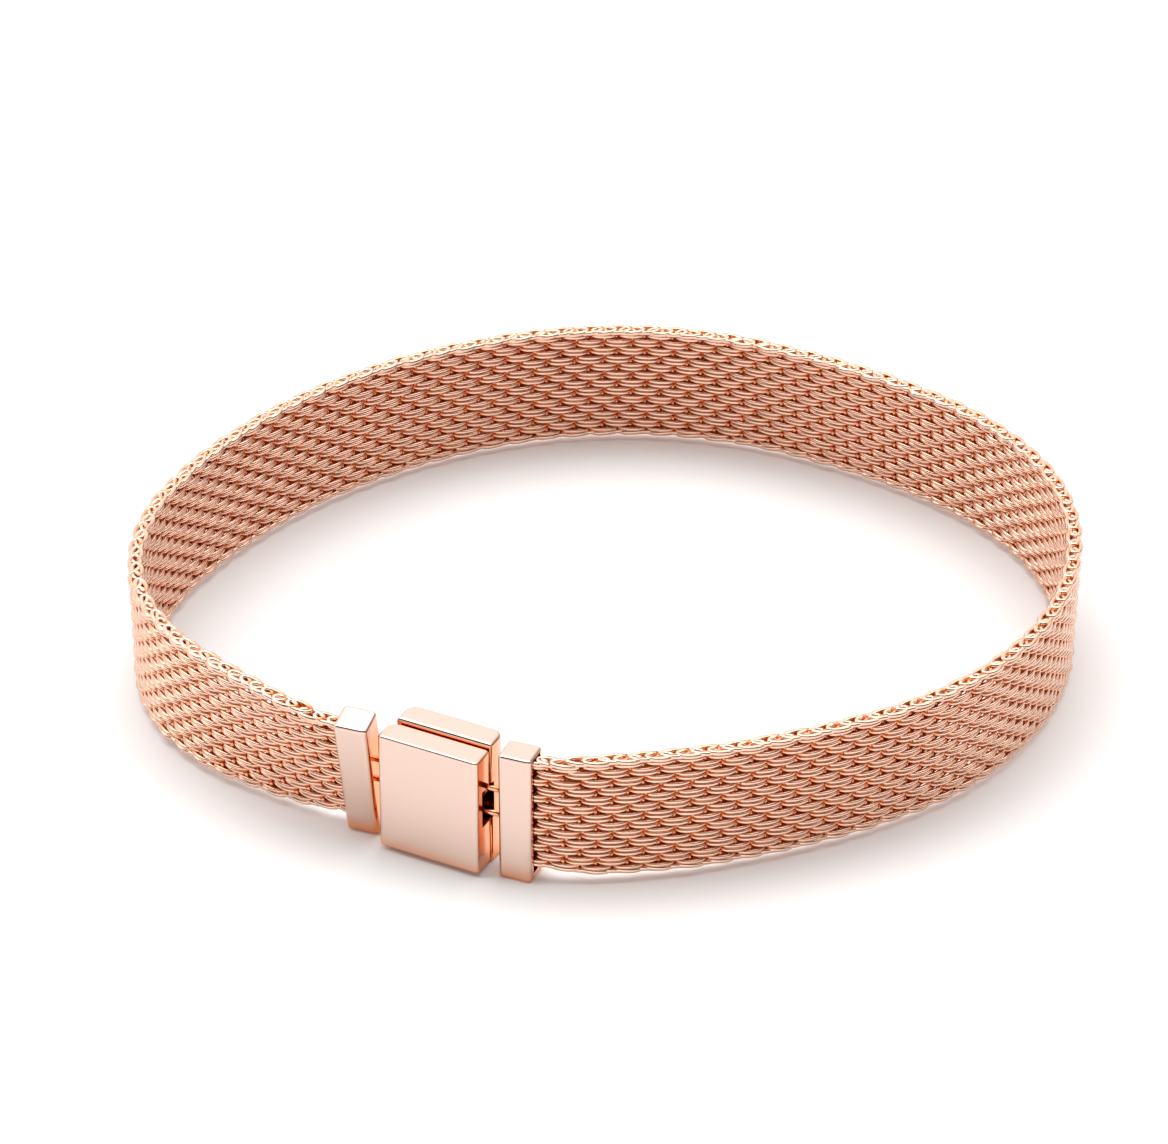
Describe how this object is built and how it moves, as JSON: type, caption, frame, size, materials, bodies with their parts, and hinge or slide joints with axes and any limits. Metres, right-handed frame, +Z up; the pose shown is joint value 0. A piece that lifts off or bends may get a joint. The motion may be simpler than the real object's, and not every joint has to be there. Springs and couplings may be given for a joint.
{
  "type": "mesh bracelet",
  "caption": "Woven wire mesh bracelet in a closed oval loop, its end caps joined by a flat rectangular clasp with a hinged front plate.",
  "frame": {"origin": "centre of the bracelet's outline seen from above, on the surface that it lies on", "axes": "+X along the oval's long way, +Y from the clasp's side to the back, +Z up, along the band's width"},
  "size_m": [0.0672, 0.0586, 0.0101],
  "materials": {
    "woven_wire": "polished rose gold wire",
    "polished_metal": "polished rose gold",
    "pin_wire": "drawn rose gold wire"
  },
  "bodies": {
    "bracelet": {"mesh_band": "woven_wire", "left_end_cap": "polished_metal", "right_end_cap": "polished_metal", "clasp_base": "polished_metal", "hinge_pin": "pin_wire"},
    "lid": {"clasp_lid": "polished_metal"}
  },
  "joints": [
    {"name": "lid_hinge", "type": "hinge", "parent": "bracelet", "child": "lid", "pos_m": [-0.01408, -0.02426, 0.0048], "axis": [0, 0, -1], "range_deg": [0, 90]}
  ]
}
